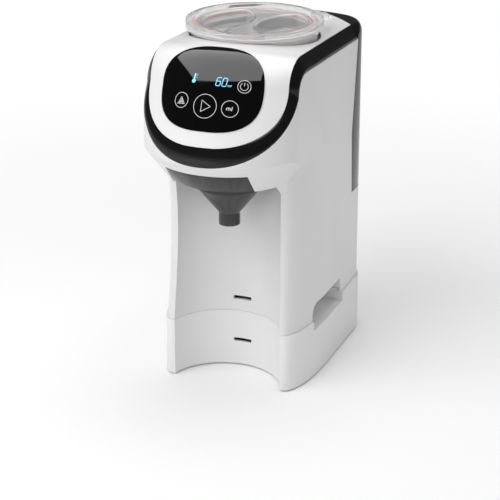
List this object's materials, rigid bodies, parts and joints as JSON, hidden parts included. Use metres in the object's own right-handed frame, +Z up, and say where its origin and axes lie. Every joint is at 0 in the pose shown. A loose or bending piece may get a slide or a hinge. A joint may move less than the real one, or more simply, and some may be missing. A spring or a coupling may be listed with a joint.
{
  "type": "baby formula maker",
  "caption": "Counter-top baby formula maker with a bottle bay, funnel drawer, powder container, rear water tank and a separate riser.",
  "frame": {"origin": "on the table, under the middle of the whole object", "axes": "+Z up, -Y to the front where the bottle stands, +X to the right seen from the front"},
  "size_m": [0.165, 0.2999, 0.3723],
  "materials": {
    "riser_white": "fine matt",
    "body_white": "satin",
    "cover_white": "satin",
    "band_black": "high gloss",
    "panel_black": "high gloss",
    "smoke_clear": "high gloss",
    "tank_smoke": "high gloss",
    "lid_black": "gloss",
    "clear_plastic": "high gloss",
    "silicone_pink": "matt",
    "rubber_grey": "matt",
    "inner_white": "matt",
    "frame_grey": "matt",
    "gear_white": "satin",
    "gear_brass": "satin",
    "steel": "satin",
    "motor_steel": "satin",
    "heater_metal": "satin",
    "pump_black": "matt",
    "board_green": "satin",
    "display_black": "gloss",
    "hose_clear": "matt",
    "inlet_black": "matt",
    "float_orange": "satin"
  },
  "bodies": {
    "riser": {"riser_shell": "riser_white", "riser_liner": "riser_white", "riser_feet": "rubber_grey"},
    "machine": {"main_housing": "body_white", "bay_liner": "body_white", "top_cover": "cover_white", "trim_band": "band_black", "touch_panel": "panel_black", "control_board": "board_green", "display_module": "display_black", "panel_bracket": "steel", "base_plate": "inner_white", "base_feet": "rubber_grey", "base_screws": "steel", "chassis_frame": "frame_grey", "container_well": "inner_white", "gearbox_case": "frame_grey", "gearbox_cover": "frame_grey", "gear_motor": "motor_steel", "idler_axle": "steel", "water_heater": "heater_metal", "water_pump": "pump_black", "pump_mounts": "rubber_grey", "power_board": "board_green", "pump_hose": "hose_clear", "heater_hose": "hose_clear", "spout_pipe": "hose_clear", "powder_chute": "inner_white", "tank_socket": "inner_white", "socket_seal": "silicone_pink", "drawer_rails": "steel", "power_inlet": "inlet_black"},
    "drawer": {"funnel_drawer": "smoke_clear", "funnel": "smoke_clear"},
    "container": {"powder_container": "clear_plastic", "powder_scraper": "silicone_pink", "outlet_seal": "silicone_pink"},
    "lid_ring": {"lid_seal": "silicone_pink"},
    "lid": {"container_lid": "clear_plastic"},
    "drive": {"output_gear": "gear_white"},
    "stirring_set": {"dosing_wheel": "inner_white", "stirrer": "silicone_pink"},
    "idler": {"idler_gear": "gear_white"},
    "pinion": {"motor_pinion": "gear_brass", "motor_shaft": "steel"},
    "tank": {"water_tank": "tank_smoke", "tank_filter": "frame_grey", "float_rail": "inner_white"},
    "tank_cap": {"tank_lid": "lid_black", "tank_lid_seal": "rubber_grey"},
    "float": {"tank_float": "float_orange"}
  },
  "joints": [
    {"name": "machine_lift", "type": "slide", "parent": "riser", "child": "machine", "axis": [0, 0, 1], "range_m": [0, 0.128]},
    {"name": "drawer_slide", "type": "slide", "parent": "machine", "child": "drawer", "axis": [0, -1, 0], "range_m": [0, 0.095]},
    {"name": "container_lift", "type": "slide", "parent": "machine", "child": "container", "axis": [0, 0, 1], "range_m": [0, 0.12]},
    {"name": "lid_lift", "type": "slide", "parent": "container", "child": "lid_ring", "axis": [0, 0, 1], "range_m": [0, 0.05]},
    {"name": "lid_twist", "type": "hinge", "parent": "lid_ring", "child": "lid", "pos_m": [0, 0.0038, 0.28], "axis": [0, 0, 1], "range_deg": [0, 30]},
    {"name": "gear_spin", "type": "hinge", "parent": "machine", "child": "drive", "pos_m": [0, 0.0038, 0.28], "axis": [0, 0, 1], "continuous": true},
    {"name": "stirrer_spin", "type": "hinge", "parent": "container", "child": "stirring_set", "pos_m": [0, 0.0038, 0.28], "axis": [0, 0, 1], "continuous": true},
    {"name": "idler_spin", "type": "hinge", "parent": "machine", "child": "idler", "pos_m": [0.02581, 0.04066, 0.26], "axis": [0, 0, 1], "continuous": true},
    {"name": "pinion_spin", "type": "hinge", "parent": "machine", "child": "pinion", "pos_m": [0.04981, 0.04066, 0.26], "axis": [0, 0, 1], "continuous": true},
    {"name": "tank_pull", "type": "slide", "parent": "machine", "child": "tank", "axis": [0, 1, 0], "range_m": [0, 0.06]},
    {"name": "tank_cap_lift", "type": "slide", "parent": "tank", "child": "tank_cap", "axis": [0, 0, 1], "range_m": [0, 0.05]},
    {"name": "float_rise", "type": "slide", "parent": "tank", "child": "float", "axis": [0, 0, 1], "range_m": [0, 0.125]}
  ],
  "couplings": [
    {"joint": "stirrer_spin", "follows": "gear_spin", "ratio": 1},
    {"joint": "idler_spin", "follows": "gear_spin", "ratio": -2},
    {"joint": "pinion_spin", "follows": "gear_spin", "ratio": 3.3333}
  ]
}
